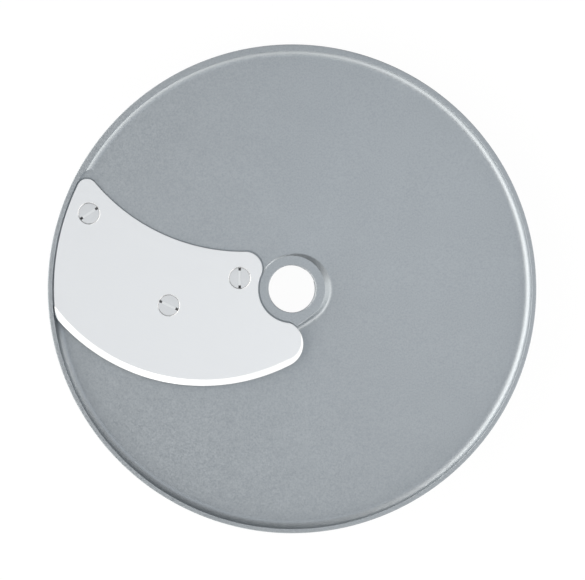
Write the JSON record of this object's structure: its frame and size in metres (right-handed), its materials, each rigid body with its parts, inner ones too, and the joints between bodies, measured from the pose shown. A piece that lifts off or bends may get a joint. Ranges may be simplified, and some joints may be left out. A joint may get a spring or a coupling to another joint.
{
  "type": "food processor slicing disc",
  "caption": "Round cast slicing disc with a raised rim, a shaft bore in a raised collar and a curved blade screwed over a slicing throat.",
  "frame": {"origin": "on the shaft axis, at the level of the lowest faces of the skirt and the hub boss", "axes": "+Z along the shaft axis and up through the disc, +X to the right and +Y to the top of the picture"},
  "size_m": [0.205, 0.205, 0.016],
  "materials": {
    "cast_aluminium": "matte, fine-blasted casting",
    "blade_steel": "fine-ground satin",
    "screw_steel": "plain turned"
  },
  "bodies": {
    "root": {"disc_body": "cast_aluminium", "blade": "blade_steel", "blade_screws": "screw_steel"}
  },
  "joints": []
}
